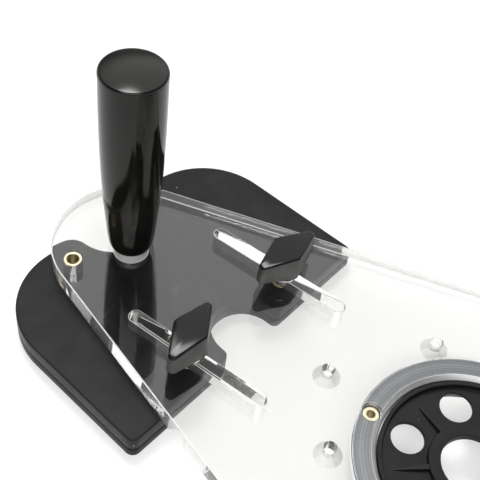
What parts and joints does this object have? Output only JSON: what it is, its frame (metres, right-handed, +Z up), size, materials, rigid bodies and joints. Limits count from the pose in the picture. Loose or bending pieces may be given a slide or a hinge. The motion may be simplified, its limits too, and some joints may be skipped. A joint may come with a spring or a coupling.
{
  "type": "offset router base plate",
  "caption": "Clear teardrop router base with an upright hand grip, a ringed opening with a drop-in guide disc, and a sliding stabiliser foot held by clamp knobs.",
  "frame": {"origin": "centre of the bounding box's base, on the surface that the foot stands on", "axes": "+X from the hand grip to the router opening, +Z up, +Y to the right-hand slot's side"},
  "size_m": [0.3794, 0.2232, 0.1571],
  "materials": {
    "clear_acrylic": "clear cast acrylic, polished edges",
    "satin_black_sheet": "satin black sheet",
    "gloss_black_plastic": "glossy black moulding",
    "moulded_black_plastic": "fine moulded black",
    "machined_aluminium": "turned, dark satin",
    "plated_steel": "bright zinc plate",
    "brass": "turned"
  },
  "bodies": {
    "base": {"base_plate": "clear_acrylic", "opening_ring": "machined_aluminium", "ring_insert_1": "brass", "ring_insert_2": "brass", "ring_insert_3": "brass", "ring_insert_4": "brass", "plate_insert_left": "brass", "plate_insert_right": "brass", "hand_grip": "gloss_black_plastic", "grip_collar": "plated_steel", "grip_insert": "brass", "grip_screw": "plated_steel"},
    "insert_disc": {"guide_disc": "moulded_black_plastic"},
    "carriage": {"clamp_washer_left": "plated_steel"},
    "foot": {"foot_upper_plate": "satin_black_sheet", "foot_lower_plate": "satin_black_sheet", "foot_screw_1": "plated_steel", "foot_screw_2": "plated_steel", "foot_screw_3": "plated_steel", "foot_screw_4": "plated_steel", "foot_screw_5": "plated_steel", "foot_screw_6": "plated_steel", "foot_screw_7": "plated_steel", "foot_screw_8": "plated_steel", "stud_insert_left": "brass", "stud_insert_right": "brass"},
    "clamp_left": {"clamp_knob_left": "gloss_black_plastic", "clamp_stud_left": "plated_steel"},
    "clamp_right": {"clamp_knob_right": "gloss_black_plastic", "clamp_stud_right": "plated_steel", "clamp_washer_right": "plated_steel"}
  },
  "joints": [
    {"name": "disc_lift", "type": "slide", "parent": "base", "child": "insert_disc", "axis": [0, 0, 1], "range_m": [0, 0.03]},
    {"name": "foot_slide", "type": "slide", "parent": "base", "child": "carriage", "axis": [1, 0, 0], "range_m": [-0.0275, 0.038]},
    {"name": "foot_skew", "type": "hinge", "parent": "carriage", "child": "foot", "pos_m": [-0.0727, -0.0385, 0.0163], "axis": [0, 0, 1], "range_deg": [-0.3, 12.7]},
    {"name": "clamp_left_turn", "type": "hinge", "parent": "foot", "child": "clamp_left", "pos_m": [-0.0727, -0.0385, 0.0293], "axis": [0, 0, 1], "continuous": true},
    {"name": "clamp_right_turn", "type": "hinge", "parent": "foot", "child": "clamp_right", "pos_m": [-0.06434, 0.0385, 0.0293], "axis": [0, 0, 1], "continuous": true}
  ]
}
